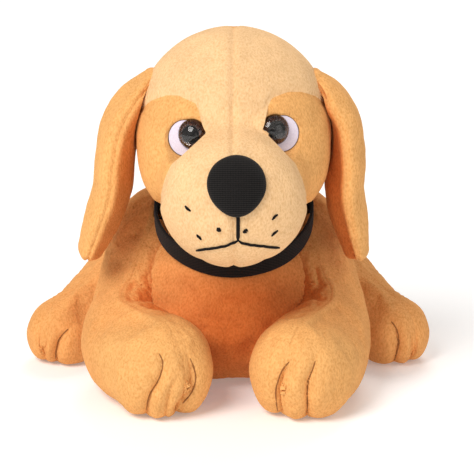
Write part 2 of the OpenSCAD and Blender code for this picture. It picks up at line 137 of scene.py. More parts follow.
def lumps(points, size, seed):
    """Smooth noise between about -1 and 1 with features of the given size."""
    shift = np.array([seed * 17.3, seed * 5.1, seed * 9.7])
    return np.array([noise.noise(Vector(p)) for p in points[:, :3] / size + shift])


def to_line(points, line):
    """Distance of 2-D points from a polyline, and how far along it each nearest place is, from 0 to 1."""
    line = np.array(line, float)
    lengths = np.linalg.norm(np.diff(line, axis=0), axis=1)
    starts = np.concatenate([[0], np.cumsum(lengths)])
    best = np.full(len(points), 1e9)
    share = np.zeros(len(points))
    for i, (a, b) in enumerate(zip(line[:-1], line[1:])):
        t = np.clip(((points - a) @ (b - a)) / lengths[i] ** 2, 0, 1)
        d = np.linalg.norm(points - a - t[:, None] * (b - a), axis=1)
        nearer = d < best
        best = np.where(nearer, d, best)
        share = np.where(nearer, (starts[i] + t * lengths[i]) / starts[-1], share)
    return best, share


def in_outline(points, outline):
    """Signed distance of 2-D points from a closed outline, above zero inside."""
    outline = np.array(outline, float)
    inside = np.zeros(len(points), bool)
    for a, b in zip(outline, np.roll(outline, -1, 0)):
        spans = (a[1] > points[:, 1]) != (b[1] > points[:, 1])
        rise = b[1] - a[1] if b[1] != a[1] else 1
        inside ^= spans & (points[:, 0] < (b[0] - a[0]) * (points[:, 1] - a[1]) / rise + a[0])
    distance = to_line(points, np.vstack([outline, outline[:1]]))[0]
    return np.where(inside, distance, -distance)


# ---- Surfaces: an array of points, whose first three columns are x, y, z, and triangles ----


def grid(rows, cols):
    """Every pair of a row and a column, as two flat arrays."""
    return (x.ravel() for x in np.meshgrid(rows, cols, indexing="ij"))


def split(a, b, c, d):
    """Two triangles of each four-sided cell."""
    return np.vstack([np.stack([a, b, c], 1), np.stack([a, c, d], 1)])


def ball_rays(cells):
    """Unit vectors over a sphere, as six square grids, with their triangles."""
    g = np.tan(np.linspace(-math.pi / 4, math.pi / 4, cells + 1))
    u, v = grid(g, g)
    rays, tris = [], []
    i, j = grid(range(cells), range(cells))
    a = i * (cells + 1) + j
    b, c, d = a + cells + 1, a + cells + 2, a + 1
    for axis in range(3):
        for sign in (1, -1):
            ray = np.empty((len(u), 3))
            ray[:, axis] = sign
            ray[:, (axis + 1) % 3] = u * sign
            ray[:, (axis + 2) % 3] = v
            tris.append(split(a, b, c, d) + len(rays) * len(u))
            rays.append(unit(ray))
    rays, tris = np.vstack(rays), np.vstack(tris)
    _, first, welded = np.unique(np.round(rays, 6), axis=0, return_index=True, return_inverse=True)
    return rays[first], welded.ravel()[tris]


def reach(blob, centre, rays):
    """How far along each ray from the centre the ellipsoid's far side is, or 0 where the ray misses."""
    o = (centre - np.array(blob[0])) / np.array(blob[1])
    k = rays / np.array(blob[1])
    a, b = (k * k).sum(1), k @ o
    q = b * b - a * (o @ o - 1)
    return np.where(q < 0, 0, (np.sqrt(np.maximum(q, 0)) - b) / a)


def soft_reach(blobs, centre, rays):
    """The furthest of the ellipsoids along each ray, rounded where they meet."""
    best = np.zeros(len(rays))
    for blob in blobs:
        r = reach(blob, centre, rays)
        h = np.maximum(BLEND - abs(best - r), 0) / BLEND
        best = np.maximum(best, r) + h * h * BLEND / 4
    return best


def quads(rows, cols):
    """Triangles of a grid that closes on itself round its columns."""
    i, j = grid(range(rows), range(cols))
    a, d = i * cols + j, i * cols + (j + 1) % cols
    return split(a, a + cols, d + cols, d)


def proper(tris):
    """The triangles whose three corners are different points."""
    a, b, c = tris.T
    return tris[(a != b) & (b != c) & (a != c)]


def limb(stations, ref, rows, cols, caps=12):
    """A limb swept along its stations, with rounded ends.

    Columns 3 and 4 of its points are the angle round it and the way along."""
    n = len(stations) - 1
    blunt = np.radians(90 * np.arange(caps) / caps)
    s = np.concatenate([np.zeros(caps), np.linspace(0, n, rows + 1), np.full(caps, n)])
    squeeze = np.concatenate([np.sin(blunt), np.ones(rows + 1), np.cos(blunt + blunt[1])])
    st = along(stations, s)
    first, last = min(stations[0][3:]), min(stations[-1][3:])
    shift = np.concatenate([-first * np.cos(blunt), np.zeros(rows + 1), last * np.sin(blunt + blunt[1])])
    ahead, behind = along(stations, np.minimum(s + 0.05, n)), along(stations, np.maximum(s - 0.05, 0))
    way = unit((ahead - behind)[:, :3])
    ref = np.array(ref, float)
    across = unit(ref - (way @ ref)[:, None] * way)
    up = np.cross(way, across)
    angle = 2 * math.pi * np.arange(cols) / cols
    middle = st[:, :3] + way * shift[:, None]
    wide = across[:, None] * np.cos(angle)[None, :, None] * (st[:, 3] * squeeze)[:, None, None]
    high = up[:, None] * np.sin(angle)[None, :, None] * (st[:, 4] * squeeze)[:, None, None]
    p = (middle[:, None] + wide + high).reshape(-1, 3)
    travel = np.repeat(s + shift / 40, cols)
    p = np.hstack([p, np.tile(angle, len(s))[:, None], travel[:, None]])
    ends = np.arange(len(p))
    for row in (0, len(s) - 1):
        pole = slice(row * cols, (row + 1) * cols)
        p[pole, :3] = p[pole, :3].mean(0)
        ends[pole] = row * cols
    return p, proper(ends[quads(len(s) - 1, cols)][:, ::-1])


def normals(points, tris):
    p = points[:, :3]
    n = np.cross(p[tris[:, 1]] - p[tris[:, 0]], p[tris[:, 2]] - p[tris[:, 0]])
    total = np.zeros((len(p), 3))
    for corner in range(3):
        for axis in range(3):
            total[:, axis] += np.bincount(tris[:, corner], n[:, axis], len(p))
    return unit(total)


def pushed(points, tris, amount):
    """Points moved by an amount along their normals."""
    moved = points.copy()
    moved[:, :3] += normals(points, tris) * amount[:, None]
    return moved


def on_floor(points, soft=2.0):
    """Nothing goes through the floor, and what meets it is flattened."""
    points[:, 2] = FLOOR_GAP + soft * np.logaddexp(0, (points[:, 2] - FLOOR_GAP) / soft)
    return points


def clip(surface, values):
    """The part of a surface where the values are above zero, cut along their zero line."""
    points, tris = surface
    n = len(points)
    above = values > 0
    count = above[tris].sum(1)
    crossed = tris[(count == 1) | (count == 2)]
    lone = above[crossed].sum(1) == 1
    odd = np.where(lone, above[crossed].argmax(1), (~above[crossed]).argmax(1))
    a, b, c = (crossed[np.arange(len(crossed)), (odd + k) % 3] for k in range(3))
    keys = [np.minimum(a, other) * n + np.maximum(a, other) for other in (b, c)]
    keys, index = np.unique(np.concatenate(keys), return_inverse=True)
    index = index.ravel() + n
    low, high = keys // n, keys % n
    t = values[low] / (values[low] - values[high])
    points = np.vstack([points, points[low] + t[:, None] * (points[high] - points[low])])
    ab, ac = index[:len(a)], index[len(a):]
    tris = np.vstack([
        tris[count == 3],
        np.stack([a, ab, ac], 1)[lone],
        np.stack([ab, b, c], 1)[~lone],
        np.stack([ab, c, ac], 1)[~lone],
    ])
    used, tris = np.unique(tris, return_inverse=True)
    return points[used], tris.reshape(-1, 3)


def mirrored(surface):
    """A left piece's form made the right one's."""
    points, tris = surface
    points = points.copy()
    points[:, 0] *= -1
    return points, tris[:, ::-1]


def near_tree(points):
    tree = KDTree(len(points))
    for i, p in enumerate(points[:, :3]):
        tree.insert(p, i)
    tree.balance()
    return tree


def added(name, data):
    """A new object in the scene."""
    obj = bpy.data.objects.new(name, data)
    bpy.context.scene.collection.objects.link(obj)
    return obj


# Cloth: quality, pressure inside, growth, frames, cloth points that each point follows, and the share of
# the usual swell that is taken off again
CLOTH_QUALITY = 5
CLOTH_PRESSURE = 4
CLOTH_SHRINK = -0.05
CLOTH_FRAMES = 20
CLOTH_NEAR = 6
CLOTH_USUAL = 0.8


def puffed(surface, hold, cap, voxel=5.0):
    """Cloth with pressure inside swells a closed form between the seams that hold it.

    The cloth is a coarse copy, and each point of the fine form then follows the cloth round it."""
    points, tris = surface
    scene = bpy.context.scene
    fine = piece("cloth_form", surface, None, None)
    remesh = fine.modifiers.new("remesh", "REMESH")
    remesh.mode = "VOXEL"
    remesh.voxel_size = voxel * MM
    graph = bpy.context.evaluated_depsgraph_get()
    mesh = bpy.data.meshes.new_from_object(fine.evaluated_get(graph))
    cloth = added("cloth", mesh)
    start = np.empty(len(mesh.vertices) * 3)
    mesh.vertices.foreach_get("co", start)
    start = start.reshape(-1, 3) / MM
    tree = near_tree(points)
    group = cloth.vertex_groups.new(name="held")
    for i, p in enumerate(start):
        group.add([i], float(hold[tree.find(Vector(p))[1]]), "REPLACE")
    modifier = cloth.modifiers.new("cloth", "CLOTH")
    fabric = modifier.settings
    fabric.quality = CLOTH_QUALITY
    fabric.use_pressure = True
    fabric.uniform_pressure_force = CLOTH_PRESSURE
    fabric.shrink_min = CLOTH_SHRINK
    fabric.vertex_group_mass = "held"
    fabric.effector_weights.gravity = 0
    for number in range(1, CLOTH_FRAMES + 1):
        scene.frame_set(number)
    graph = bpy.context.evaluated_depsgraph_get()
    result = cloth.evaluated_get(graph).to_mesh()
    end = np.empty(len(result.vertices) * 3)
    result.vertices.foreach_get("co", end)
    moved = end.reshape(-1, 3) / MM - start
    length = np.linalg.norm(moved, axis=1, keepdims=True)
    moved *= cap * np.tanh(length / cap) / np.maximum(length, 1e-6)
    for obj in (cloth, fine):
        bpy.data.objects.remove(obj)
    scene.frame_set(1)
    tree = near_tree(start)
    swell = np.empty((len(points), 3))
    for i, p in enumerate(points[:, :3]):
        near = tree.find_n(Vector(p), CLOTH_NEAR)
        weight = np.array([1 / (d + 0.8) ** 2 for _, _, d in near])
        swell[i] = weight @ moved[[k for _, k, _ in near]] / weight.sum()
    n = normals(points, tris)
    usual = np.average((swell * n).sum(1), weights=1.001 - hold)
    puffy = points.copy()
    puffy[:, :3] += (swell - n * usual * CLOTH_USUAL) * (1 - hold)[:, None]
    return puffy, tris


def shell(surface, thick=PILE):
    """Fabric of that thickness under a surface, closed round its edges."""
    points, tris = surface
    n = len(points)
    inner = points.copy()
    inner[:, :3] -= normals(points, tris) * thick
    edges = np.vstack([tris[:, [0, 1]], tris[:, [1, 2]], tris[:, [2, 0]]])
    keys = edges.min(1) * n + edges.max(1)
    _, where, times = np.unique(keys, return_inverse=True, return_counts=True)
    a, b = edges[times[where.ravel()] == 1].T
    rim = split(b, a, a + n, b + n)
    return np.vstack([points, inner]), np.vstack([tris, tris[:, ::-1] + n, rim])


# ---- Pieces ----


def piece(name, surface, material, body, nodes=(), tone=None, sharp=50):
    """One Blender object that rides on a body and stands for CAD nodes, which it hides. Given two bodies to
    bend between, it is left in place and does not bend.
    """
    points, tris = surface
    mesh = bpy.data.meshes.new(name)
    mesh.vertices.add(len(points))
    mesh.vertices.foreach_set("co", (points[:, :3] * MM).ravel())
    mesh.loops.add(len(tris) * 3)
    mesh.polygons.add(len(tris))
    mesh.loops.foreach_set("vertex_index", tris.ravel().astype(np.int32))
    mesh.polygons.foreach_set("loop_start", np.arange(0, len(tris) * 3, 3, dtype=np.int32))
    mesh.update(calc_edges=True)
    mesh.validate()
    mesh.polygons.foreach_set("use_smooth", np.ones(len(mesh.polygons), bool))
    mesh.set_sharp_from_angle(angle=math.radians(sharp))
    # Painted shade: how far, from 0 to 1, the plush is darkened at each point
    layer = mesh.attributes.new("deep", "FLOAT", "POINT")
    values = np.zeros(len(points)) if tone is None else np.resize(tone, len(points))
    layer.data.foreach_set("value", values.astype(np.float32))
    if material:
        mesh.materials.append(material)
    obj = added(name, mesh)
    if isinstance(body, str):
        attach(obj, body)
    elif body:
        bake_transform(obj)
    if nodes:
        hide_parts(*nodes)
    return obj


def tube(points, radius, sides=8):
    """A thread or cord through points, with rounded ends."""
    p = np.array(points, float)
    ahead = np.vstack([p[1:], p[-1:]])
    behind = np.vstack([p[:1], p[:-1]])
    way = unit(ahead - behind)
    ref = np.where(abs(way[:, 2:]) > 0.8, [[1.0, 0, 0]], [[0, 0, 1.0]])
    side = unit(np.cross(way, ref))
    up = np.cross(way, side)
    thin = np.ones(len(p))
    thin[[0, -1]] = 0.55
    a = 2 * math.pi * np.arange(sides) / sides
    ring = side[:, None] * np.cos(a)[None, :, None] + up[:, None] * np.sin(a)[None, :, None]
    rings = (p[:, None] + ring * radius * thin[:, None, None]).reshape(-1, 3)
    tris = quads(len(p) - 1, sides)[:, ::-1]
    tips = np.vstack([p[0] - way[0] * radius * 0.4, p[-1] + way[-1] * radius * 0.4])
    n = len(rings)
    j = np.arange(sides)
    start = np.stack([np.full(sides, n), j, (j + 1) % sides], 1)
    last = n - sides
    end = np.stack([np.full(sides, n + 1), last + (j + 1) % sides, last + j], 1)
    return np.vstack([rings, tips]), np.vstack([tris, start[:, ::-1], end[:, ::-1]])


def joined(surfaces):
    points, tris, base = [], [], 0
    for p, t in surfaces:
        points.append(p[:, :3])
        tris.append(t + base)
        base += len(p)
    return np.vstack(points), np.vstack(tris)


# ---- Materials ----


def shader(name, roughness, specular=0.3, **sockets):
    """A new material with its tree, its Principled shader and a coordinate node in the frame's metres."""
    mat = bpy.data.materials.new(name)
    mat.use_nodes = True
    tree = mat.node_tree
    main = tree.nodes["Principled BSDF"]
    main.inputs["Roughness"].default_value = roughness
    main.inputs["Specular IOR Level"].default_value = specular
    for socket, value in sockets.items():
        main.inputs[socket.replace("_", " ")].default_value = value
    place = tree.nodes.new("ShaderNodeTexCoord")
    return mat, tree, main, place.outputs["Object"]


def noise_of(tree, place, size, detail=2, stretch=None):
    """Noise with features of about that size, in millimetres."""
    if stretch:
        mapping = tree.nodes.new("ShaderNodeMapping")
        mapping.inputs["Scale"].default_value = stretch
        tree.links.new(place, mapping.inputs["Vector"])
        place = mapping.outputs["Vector"]
    node = tree.nodes.new("ShaderNodeTexNoise")
    node.inputs["Scale"].default_value = 1 / (size * MM)
    node.inputs["Detail"].default_value = detail
    tree.links.new(place, node.inputs["Vector"])
    return node.outputs["Fac"]


def ramp(tree, value, *stops):
    """Colours or greys along a value: each stop is its place and an RGB colour or a grey."""
    node = tree.nodes.new("ShaderNodeValToRGB")
    band = node.color_ramp
    while len(band.elements) < len(stops):
        band.elements.new(0.5)
    for element, (place, colour) in zip(band.elements, stops):
        element.position = place
        element.color = (*([colour] * 3 if isinstance(colour, (int, float)) else colour), 1)
    tree.links.new(value, node.inputs["Fac"])
    return node.outputs["Color"]


def mixed(tree, kind, factor, a, b):
    node = tree.nodes.new("ShaderNodeMix")
    node.data_type = "RGBA"
    node.blend_type = kind
    for socket, value in ((node.inputs["Factor"], factor), (node.inputs["A"], a), (node.inputs["B"], b)):
        if isinstance(value, bpy.types.NodeSocket):
            tree.links.new(value, socket)
        else:
            socket.default_value = value
    return node.outputs["Result"]


def bumped(tree, main, height, strength, distance, normal=None):
    node = tree.nodes.new("ShaderNodeBump")
    node.inputs["Strength"].default_value = strength
    node.inputs["Distance"].default_value = distance * MM
    tree.links.new(height, node.inputs["Height"])
    if normal:
        tree.links.new(normal, node.inputs["Normal"])
    tree.links.new(node.outputs["Normal"], main.inputs["Normal"])
    return node.outputs["Normal"]


def coated(tree, main, colour, roughness):
    tree.links.new(colour, main.inputs["Base Color"])
    tree.links.new(roughness, main.inputs["Roughness"])


def plush(name, light, dark, deep):
    """Short nap: a fine mottle of light tips and dark roots, wider brushed patches, and a soft sheen. A point
    attribute darkens the colour towards the given shade colour: painted shade.
    """
    mat, tree, main, place = shader(
        name, 0.92, 0.12, Sheen_Weight=0.32, Sheen_Roughness=0.4, Sheen_Tint=(*light, 1),
    )
    grain = noise_of(tree, place, 1.25, 3, (1, 1, 0.6))
    brushed = noise_of(tree, place, 14, 3)
    wide = noise_of(tree, place, 45, 1)
    tips = ramp(tree, grain, (0.3, dark), (0.62, light))
    tone = ramp(tree, brushed, (0.3, 0.9), (0.7, 1.0))
    body = mixed(tree, "MULTIPLY", 1.0, tips, tone)
    body = mixed(tree, "MULTIPLY", 1.0, body, ramp(tree, wide, (0.3, 0.94), (0.7, 1.0)))
    # Painted shade: the colour multiplied by the shade colour, mixed in by the point attribute
    layer = tree.nodes.new("ShaderNodeAttribute")
    layer.attribute_name = "deep"
    shaded = mixed(tree, "MULTIPLY", 1.0, body, (*deep, 1))
    body = mixed(tree, "MIX", layer.outputs["Fac"], body, shaded)
    coated(tree, main, body, ramp(tree, grain, (0.3, 0.98), (0.7, 0.86)))
    height = mixed(tree, "MIX", 0.35, grain, brushed)
    bumped(tree, main, height, 0.9, 1.1)
    return mat


def waved(tree, place, size, axis, turn=(0, 0, 0)):
    """Ribs of that spacing across an axis."""
    mapping = tree.nodes.new("ShaderNodeMapping")
    mapping.inputs["Rotation"].default_value = turn
    tree.links.new(place, mapping.inputs["Vector"])
    node = tree.nodes.new("ShaderNodeTexWave")
    node.bands_direction = axis
    node.inputs["Scale"].default_value = 0.314 / (size * MM)
    node.inputs["Distortion"].default_value = 0.6
    node.inputs["Detail"].default_value = 1
    node.inputs["Detail Scale"].default_value = 4
    tree.links.new(mapping.outputs["Vector"], node.inputs["Vector"])
    return node.outputs["Fac"]


def knit(name, colour, thread, size, tilt=0.0):
    """Black knit or webbing: fine ribs crossed by finer ones, with a few pale fibres."""
    mat, tree, main, place = shader(name, 0.9, 0.12, Sheen_Weight=0.05, Sheen_Roughness=0.5)
    ribs = waved(tree, place, size, "Z", (tilt, 0, 0))
    cross = waved(tree, place, size * 0.8, "X")
    fibres = noise_of(tree, place, 0.35, 4)
    weave = mixed(tree, "MIX", 0.4, ribs, cross)
    lit = ramp(tree, weave, (0.2, colour), (0.85, thread))
    body = mixed(tree, "ADD", 1.0, lit, ramp(tree, fibres, (0.6, 0.0), (0.85, 0.035)))
    coated(tree, main, body, ramp(tree, fibres, (0.3, 0.75), (0.7, 0.95)))
    bumped(tree, main, mixed(tree, "MIX", 0.25, weave, fibres), 0.7, 0.35)
    return mat


def felt(name, light, dark):
    mat, tree, main, place = shader(name, 0.95, 0.1, Sheen_Weight=0.2, Sheen_Roughness=0.5)
    fibres = noise_of(tree, place, 0.5, 4)
    colour = ramp(tree, fibres, (0.35, dark), (0.62, light))
    coated(tree, main, colour, ramp(tree, fibres, (0.3, 1.0), (0.7, 0.85)))
    bumped(tree, main, fibres, 0.5, 0.4)
    return mat


def yarn(name, light, dark):
    """Twisted thread."""
    mat, tree, main, place = shader(name, 0.85, 0.12, Sheen_Weight=0.02)
    twist = noise_of(tree, place, 0.4, 2, (1, 1, 3))
    colour = ramp(tree, twist, (0.35, dark), (0.65, light))
    coated(tree, main, colour, ramp(tree, twist, (0.3, 0.85), (0.7, 0.6)))
    bumped(tree, main, twist, 0.6, 0.25)
    return mat


def plastic(name, light, dark, roughness, size=4, **sockets):
    """Moulded plastic: a faint cloud in its colour, and fine flow marks in its gloss."""
    mat, tree, main, place = shader(name, roughness, 0.5, **sockets)
    cloud = noise_of(tree, place, size, 2)
    fine = noise_of(tree, place, 0.8, 3)
    spread = ramp(tree, fine, (0.35, roughness * 0.7), (0.7, min(1, roughness * 1.4)))
    coated(tree, main, ramp(tree, cloud, (0.3, dark), (0.7, light)), spread)
    bumped(tree, main, fine, 0.04, 0.05)
    return mat


# Each plush: the light and dark colours of its grain, and the colour of its painted shade
golden = plush("golden_plush", (0.93, 0.49, 0.175), (0.74, 0.34, 0.10), (0.78, 0.40, 0.26))
light = plush("light_plush", (0.95, 0.62, 0.33), (0.80, 0.475, 0.22), (0.88, 0.60, 0.45))
nose_knit = knit("nose_knit", (0.001, 0.001, 0.001), (0.020, 0.017, 0.016), 1.3, 0.3)
webbing = knit("collar_webbing", (0.003, 0.0022, 0.002), (0.012, 0.008, 0.007), 1.4, NECK_LEAN)
# Black fabric of the neck ball: painted shadow in the gap between the head and the collar
neck_shadow_fabric = plush("painted_shadow_black", (0.02, 0.012, 0.010), (0.008, 0.005, 0.004), (1, 1, 1))
white_felt = felt("white_felt", (0.86, 0.78, 0.86), (0.72, 0.62, 0.74))
black_yarn = yarn("black_thread", (0.010, 0.008, 0.008), (0.003, 0.002, 0.002))
golden_yarn = yarn("golden_thread", (0.42, 0.18, 0.06), (0.22, 0.08, 0.02))
iris = plastic("eye_brown", (0.17, 0.052, 0.02), (0.08, 0.022, 0.009), 0.25, 1.5)
pupil = plastic("eye_black", (0.004, 0.004, 0.004), (0.002, 0.002, 0.002), 0.6)
clear = plastic(
    "eye_clear", (0.92, 0.86, 0.82), (0.88, 0.82, 0.78), 0.02, Transmission_Weight=1.0, IOR=1.49,
)
white_plastic = plastic("washer_white", (0.8, 0.8, 0.8), (0.7, 0.7, 0.7), 0.4)


def soft_piece(name, surface, body, nodes, material=golden, tone=None):
    """A sewn cover, closed round its edges, that stands for its CAD cover and what fills it."""
    closed = shell(surface)
    if tone is not None:
        tone = np.tile(tone, 2)
    return piece(name, closed, material, body, nodes, tone)


# ---- Head ----

FACE_TILT = math.radians(15)
FACE_UP = np.array([0, math.sin(FACE_TILT), math.cos(FACE_TILT)])
SKULL_C = np.array(HEAD_BLOBS[0][0], float)
BACK_SEAM = -33
CHIN_SEAM = 110
# The seam of the light face fabric, across and up the face
BROW_LINE = [
    (90, 3), (63, 8), (55.5, 13), (45.5, 15.5), (37, 15), (25.5, 9.5), (20, -3), (18.5, -11), (30.5, -23),
    (35, -27.5), (41.5, -33), (45.7, -42), (48.5, -52), (50.5, -58), (60, -75), (90, -90),
]
LIGHT_OUTLINE = [(0, 120), (90, 120)] + BROW_LINE + [(90, -140), (0, -140)]
EYE_R = 10
EYE_DROP = 1.6
FELT_R = 12
FELT_AT = (5.5, -3)
EYE_EDGE = 0.4
EYE_TURN = math.radians(24)
EYE_LEAN = math.radians(82)


def face_coords(points):
    """Across and up the face, as seen from the front and a little above."""
    return points[:, 0], (points[:, :3] - SKULL_C) @ FACE_UP


def eye_frame(side):
    """An eye's seat and its axes: across, up and outwards."""
    word = {1: "left", -1: "right"}[side]
    disc = np.array([v.co for v in frame["nodes"]["eye_pupil_" + word].data.vertices]) / MM
    turn = Matrix.Rotation(side * EYE_TURN, 3, "Z") @ Matrix.Rotation(EYE_LEAN, 3, "X")
    axes = np.array(turn).T
    seat = (disc.min(0) + disc.max(0)) / 2 - axes[2] * 3.0
    return seat - [HEAD_OFF, 0, 0], axes


EYES = {side: eye_frame(side) for side in (1, -1)}


def from_eye(points, side):
    """Distance outside the eye and its felt, and height above the eye's seat."""
    seat, axes = EYES[side]
    q = (points[:, :3] - seat) @ axes.T
    eye_gap = np.hypot(q[:, 0], q[:, 1]) - EYE_R
    felt_gap = np.hypot(q[:, 0] - side * FELT_AT[0], q[:, 1] - FELT_AT[1]) - FELT_R
    return eye_gap, felt_gap, q


def dome_height(radius):
    """Height of the eye's clear dome above the seat."""
    ball = (EYE_R**2 + 36) / 12
    return 2.8 + np.sqrt(np.maximum(ball**2 - np.minimum(radius, EYE_R) ** 2, 0)) - ball + 6


def eye_room(points):
    """Distance outside both eyes and their felts."""
    return np.min([np.minimum(*from_eye(points, side)[:2]) for side in EYES], axis=0)


def groove(distance, depth, width):
    return -depth * np.exp(-((distance / width) ** 2))


def brow_field(points):
    """Signed distance from the seam of the light face fabric, above zero inside it."""
    u, w = face_coords(points)
    drop = np.sign(u) * EYE_DROP * smooth(w, -40, -15) * smooth(-w, -22, -12)
    return in_outline(np.stack([abs(u), w - drop], 1), LIGHT_OUTLINE)


def neck_coords(points, centre=NECK):
    """Distance from the neck's middle, distance from its axis, and height along the axis."""
    q = points[:, :3] - centre
    height = q @ NECK_AXIS
    return np.linalg.norm(q, axis=1), np.linalg.norm(q - height[:, None] * NECK_AXIS, axis=1), height


def head_form(cells=60):
    rays, tris = ball_rays(cells)
    p = HEAD_C + rays * soft_reach(HEAD_BLOBS, HEAD_C, rays)[:, None]
    brow = brow_field(p)
    front = smooth(-p[:, 1], -BACK_SEAM - 4, -BACK_SEAM + 2)
    u, w = face_coords(p)
    sewn = groove(brow, 1.5, 2.6) * front * smooth(eye_room(p), 1, 9)
    sewn += groove(p[:, 1] - BACK_SEAM, 1.2, 2.4)
    sewn += groove(p[:, 2] - CHIN_SEAM, 1.0, 2.2) * front
    sewn += groove(u, 0.3, 1.6) * (1 - 0.6 * smooth(-w, 10, 60))
    folds = 0.55 * lumps(p, 26, 1) + 0.25 * lumps(p, 11, 2)
    return pushed(p, tris, sewn + folds), tris


def head_opening(points):
    """Above zero on the part of the head that is clear of the neck and the collar."""
    far, out, height = neck_coords(points, NECK - [HEAD_OFF, 0, 0])
    return np.minimum(far - NECK_R - 1.2, height - out * 32 / 120 - 0.2)


def tucked(points, tris, values, depth=3.0, width=5.0):
    """An edge that turns in where the values fall to zero."""
    return pushed(points, tris, -depth * np.clip(1 - values / width, 0, 1) ** 2)


def at_head(surface):
    points, tris = surface
    points = points.copy()
    points[:, 0] += HEAD_OFF
    return points, tris


def lid(points, tris):
    """The light fabric is drawn over the inner, lower part of each eye."""
    for side in EYES:
        eye_gap, _, q = from_eye(points, side)
        cover = dome_height(eye_gap + EYE_R) + PILE + 0.7
        raise_by = np.maximum(cover - q[:, 2], 0) * smooth(-eye_gap, -7, -0.5)
        points[:, :3] += raise_by[:, None] * EYES[side][1][2]
    return points, tris


def pressed(points, tris):
    """The golden fabric lies under the felt and beside the eye."""
    for side in EYES:
        eye_gap, felt_gap, q = from_eye(points, side)
        gap = np.minimum(eye_gap, felt_gap)
        top = 0.8 + np.maximum(gap, 0) * 1.6
        lower = np.maximum(q[:, 2] - top, 0) * smooth(-gap, -6, 0)
        points[:, :3] -= lower[:, None] * EYES[side][1][2]
    return points, tris


def head_panels():
    points, tris = head_form()
    points = tucked(points, tris, head_opening(points))
    head = clip((points, tris), head_opening(points))
    back = clip(head, head[0][:, 1] - BACK_SEAM)
    front = clip(head, BACK_SEAM - head[0][:, 1])
    chin = clip(front, CHIN_SEAM - front[0][:, 2])
    front = clip(front, front[0][:, 2] - CHIN_SEAM)
    face = clip(front, brow_field(front[0]))
    cheek = clip(front, -brow_field(front[0]))
    for side, word in SIDES:
        half = clip(back, side * back[0][:, 0])
        soft_piece("cover_head_back_" + word, at_head(half), "head", ["head_back_" + word])
        half = at_head(lid(*clip(face, side * face[0][:, 0])))
        soft_piece("cover_face_" + word, half, "head", ["face_panel_" + word], light)
        half = pressed(*clip(cheek, side * cheek[0][:, 0]))
        half = clip(half, eye_room(half[0]) - EYE_EDGE)
        soft_piece("cover_cheek_" + word, at_head(half), "head", ["cheek_panel_" + word])
    soft_piece("cover_chin", at_head(chin), "head", ["chin_panel", "head_filling"], light)
    return head


def on_surface(surface, targets):
    """Nearest places on a surface to target points, with its normals there."""
    points, tris = surface
    tree = near_tree(points)
    found = [tree.find_n(Vector(t), 6) for t in targets]
    n = normals(points, tris)
    place, way = [], []
    for near in found:
        weight = np.array([1 / (d + 0.2) for _, _, d in near])
        weight /= weight.sum()
        index = [i for _, i, _ in near]
        place.append(weight @ points[index, :3])
        way.append(weight @ n[index])
    return np.array(place), unit(np.array(way))


def face_points(spots, rise):
    """Points on the face from across and up, found along the line of sight."""
    out = np.array([0, -math.cos(FACE_TILT), math.sin(FACE_TILT)])
    found = []
    for u, w in spots:
        base = SKULL_C + [u, 0, 0] + w * FACE_UP
        inner, outer = 20.0, 140.0
        for _ in range(18):
            middle = (inner + outer) / 2
            ray = base + middle * out - HEAD_C
            far = np.linalg.norm(ray)
            inside = far < soft_reach(HEAD_BLOBS, HEAD_C, unit(ray)[None])[0]
            inner, outer = (middle, outer) if inside else (inner, middle)
        p = base + inner * out
        found.append(p + rise * unit(p - HEAD_C))
    return np.array(found)


NOSE_AT = (2, -48)
NOSE_W = 19.5
NOSE_RISE = 10
NOSE_KNIT_T = 1.0


def nose():
    """A stuffed cap of knit, with its rim tucked against the muzzle."""
    rings, cols = 26, 72
    rows = []
    for i in range(rings + 1):
        q = i / rings
        ring = []
        for a in 2 * math.pi * np.arange(cols) / cols:
            wide = NOSE_W * (1 + 0.1 * math.sin(a) - 0.08 * math.sin(a) ** 2)
            across, up = wide * q * math.cos(a), NOSE_W * 1.04 * q * math.sin(a)
            ring.append((NOSE_AT[0] + across, NOSE_AT[1] + up))
        rise = 0.3 + (NOSE_RISE - 0.3) * (1 - q**2.3) ** 0.55
        rows.append(face_points(ring if i else ring[:1] * cols, rise if i < rings else -0.6))
    top = np.vstack(rows)
    firsts = np.arange(len(top))
    firsts[:cols] = 0
    tris = proper(firsts[quads(rings, cols)][:, ::-1])
    n = normals(top, tris)
    if (n @ (top.mean(0) - HEAD_C)).mean() < 0:
        tris = tris[:, ::-1]
    top = pushed(top, tris, 0.25 * lumps(top, 9, 3))
    cap = at_head(shell((top, tris), NOSE_KNIT_T))
    piece("nose_cap", cap, nose_knit, "head", ["nose_cover", "nose_filling"])


MOUTH_U = 3
MOUTH_TOP = -69.5
MOUTH_MID = -83.5
# Whisker marks: across and up the face, and the way they lean
WHISKERS = [
    (-30, -63, -1), (-9.5, -76.5, -1), (-22.5, -81.5, -1), (8, -77.5, 1), (27, -68.5, 1), (27, -79, 1),
]


def laid(spots, rise, surface):
    """A thread's points on the face's real surface."""
    place, way = on_surface(surface, face_points(spots, 0))
    return place + way * rise


def embroidery(head):
    lines = [tube(laid([(MOUTH_U, w) for w in np.linspace(MOUTH_TOP + 2, MOUTH_MID, 9)], 0.6, head), 1.25)]
    for side in (-1, 1):
        t = np.linspace(0.0, 1, 14)
        u = MOUTH_U + side * 27.5 * t
        w = MOUTH_MID - 0.6 - 5.4 * np.sqrt(t) + side * 0.8 * t
        lines.append(tube(laid(list(zip(u, w)), 0.45, head), 0.95))
    mouth = at_head(joined(lines))
    piece("mouth_thread", mouth, black_yarn, "head", ["mouth_stitching"])
    marks = []
    for u, w, lean in WHISKERS:
        half = 0.9 if abs(u) < 10 else 1.7
        ends = [(u + k * half, w + k * lean * half) for k in (-1, -0.3, 0.3, 1)]
        marks.append(tube(laid(ends, 0.4, head), 1.5 if abs(u) < 10 else 0.95))
    whiskers = at_head(joined(marks))
    piece("whisker_threads", whiskers, black_yarn, "head", ["whisker_stitches"])


# ---- Ears ----

# How deep each ear is cupped, and how much painted shade darkens its inner layer
CUP = {1: 5.5, -1: 1.5}
EAR_SHADE = {1: 0.95, -1: 0.55}


